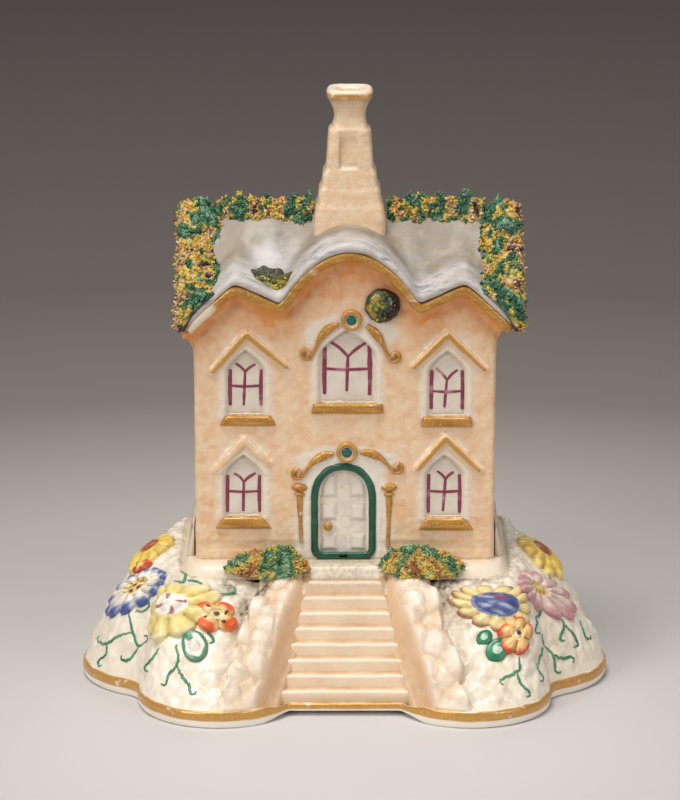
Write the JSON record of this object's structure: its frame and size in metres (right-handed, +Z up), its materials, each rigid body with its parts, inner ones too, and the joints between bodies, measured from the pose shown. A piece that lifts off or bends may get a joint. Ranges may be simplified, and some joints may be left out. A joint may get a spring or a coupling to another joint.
{
  "type": "pastille burner",
  "caption": "Cottage-shaped porcelain pastille burner: a hollow cottage with a smoking chimney lifts off a lobed, flowered rockwork base that holds a scented pastille.",
  "frame": {"origin": "on the table, below the middle of the base's bounding box", "axes": "+Z up, +X to the right as seen from the front, +Y from the front towards the back, so the facade faces -Y"},
  "size_m": [0.132, 0.088, 0.1473],
  "materials": {
    "cream_glaze": "glossy cream-white glaze with faint dirt in the hollows",
    "apricot_glaze": "glossy glaze with a mottled apricot wash",
    "white_glaze": "glossy white glaze with grey brush strokes",
    "gilding": "rubbed gilding over glaze",
    "foliage_clay": "shredded clay dabbed with green, yellow and rust enamel",
    "dark_foliage": "dark olive glossy enamel",
    "green_enamel": "glossy green enamel",
    "yellow_enamel": "glossy yellow enamel petals",
    "blue_enamel": "white petals tipped with blue enamel",
    "orange_enamel": "glossy orange-red enamel petals",
    "pink_enamel": "pink-lavender enamel petals",
    "bud_glaze": "white glaze outlined in green enamel",
    "charcoal": "matt pressed charcoal"
  },
  "bodies": {
    "base": {"base_rim": "cream_glaze", "base_mound": "cream_glaze", "base_plinth": "cream_glaze", "side_skirting": "cream_glaze", "stair_flight": "cream_glaze", "stair_wall_left": "cream_glaze", "stair_wall_right": "cream_glaze", "door_bush_left": "foliage_clay", "door_bush_right": "foliage_clay", "pastille_pan": "white_glaze", "yellow_peony": "yellow_enamel", "blue_aster": "blue_enamel", "orange_blossom_left": "orange_enamel", "red_blossom_left": "orange_enamel", "yellow_daisy_left": "yellow_enamel", "bud_left": "bud_glaze", "sunflower_right": "yellow_enamel", "orange_blossom_right": "orange_enamel", "leaves_right": "green_enamel", "pink_daisy_right": "pink_enamel", "yellow_daisy_right": "yellow_enamel"},
    "pastille": {"pastille": "charcoal"},
    "cottage": {"house_walls": "apricot_glaze", "roof": "white_glaze", "chimney": "apricot_glaze", "eave_cove": "apricot_glaze", "eave_moulding": "gilding", "window_panes": "white_glaze", "window_hoods": "gilding", "window_sills": "gilding", "middle_window_roundel": "gilding", "middle_window_scrolls": "gilding", "door_leaf": "white_glaze", "door_frame": "green_enamel", "door_knob": "gilding", "door_roundel": "gilding", "door_scrolls": "gilding", "door_pilasters": "gilding", "ridge_ivy_left": "foliage_clay", "ridge_ivy_right": "foliage_clay", "gable_ivy_left": "foliage_clay", "gable_ivy_right": "foliage_clay", "valley_ivy": "foliage_clay", "facade_tuft": "dark_foliage"}
  },
  "joints": [
    {"name": "cottage_lift", "type": "slide", "parent": "base", "child": "cottage", "axis": [0, 0, 1], "range_m": [0, 0.15]},
    {"name": "pastille_lift", "type": "slide", "parent": "base", "child": "pastille", "axis": [0, 0, 1], "range_m": [0, 0.03]}
  ]
}
